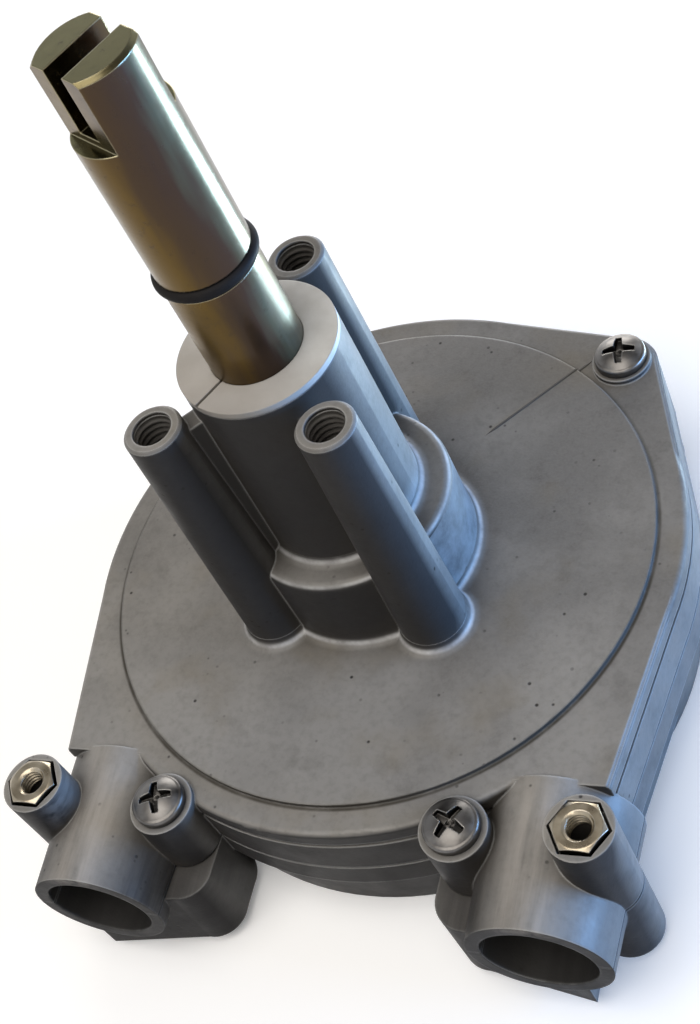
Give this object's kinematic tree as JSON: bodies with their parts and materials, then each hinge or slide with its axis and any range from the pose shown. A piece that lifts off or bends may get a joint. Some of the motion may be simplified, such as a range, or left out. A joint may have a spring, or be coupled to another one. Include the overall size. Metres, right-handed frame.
{
  "type": "boat steering helm",
  "caption": "Rotary boat steering helm: round split cast case, hub with hollow mounting columns, slotted steering shaft, planetary gears, cable drum and side-by-side cable outlets.",
  "frame": {"origin": "centre of the rear face, on the shaft's axis", "axes": "+Z along the shaft towards the wheel, -Y towards the cable outlets, +X to the right seen from the wheel"},
  "size_m": [0.141, 0.156, 0.1875],
  "materials": {
    "cast_metal": "die-cast, lightly weathered",
    "gasket": "flat sheet",
    "bush_plastic": "moulded",
    "bronze": "turned",
    "plated_steel": "yellow zinc plating",
    "rubber": "smooth",
    "steel": "machined",
    "drum_metal": "die-cast",
    "guide_plastic": "moulded",
    "screw_steel": "zinc plating",
    "nut_steel": "pale yellow zinc plating"
  },
  "bodies": {
    "case": {"rear_housing": "cast_metal", "front_cover": "cast_metal", "joint_gasket": "gasket", "hub_bush": "bush_plastic", "lower_bush": "bush_plastic", "upper_washer": "bronze", "ring_gear": "steel", "drum_bush": "bronze", "drum_washer": "bronze", "cable_guide": "guide_plastic", "cover_screws": "screw_steel", "outlet_nuts": "nut_steel"},
    "shaft": {"steering_shaft": "plated_steel", "shaft_o_ring": "rubber", "sun_gear": "steel"},
    "drum": {"cable_drum": "drum_metal", "planet_pins": "steel", "carrier_plate": "steel", "pilot_bush": "bronze"},
    "planet_1": {"planet_gear_1": "steel"},
    "planet_2": {"planet_gear_2": "steel"},
    "planet_3": {"planet_gear_3": "steel"}
  },
  "joints": [
    {"name": "drum_spin", "type": "hinge", "parent": "case", "child": "drum", "pos_m": [0, 0, 0.024], "axis": [0, 0, 1], "continuous": true},
    {"name": "shaft_spin", "type": "hinge", "parent": "case", "child": "shaft", "pos_m": [0, 0, 0.1], "axis": [0, 0, 1], "continuous": true},
    {"name": "planet_1_spin", "type": "hinge", "parent": "drum", "child": "planet_1", "pos_m": [0, 0.0225, 0.024], "axis": [0, 0, 1], "continuous": true},
    {"name": "planet_2_spin", "type": "hinge", "parent": "drum", "child": "planet_2", "pos_m": [-0.01949, -0.01125, 0.024], "axis": [0, 0, 1], "continuous": true},
    {"name": "planet_3_spin", "type": "hinge", "parent": "drum", "child": "planet_3", "pos_m": [0.01949, -0.01125, 0.024], "axis": [0, 0, 1], "continuous": true}
  ],
  "couplings": [
    {"joint": "shaft_spin", "follows": "drum_spin", "ratio": 6},
    {"joint": "planet_1_spin", "follows": "drum_spin", "ratio": -2.5},
    {"joint": "planet_2_spin", "follows": "drum_spin", "ratio": -2.5},
    {"joint": "planet_3_spin", "follows": "drum_spin", "ratio": -2.5}
  ]
}
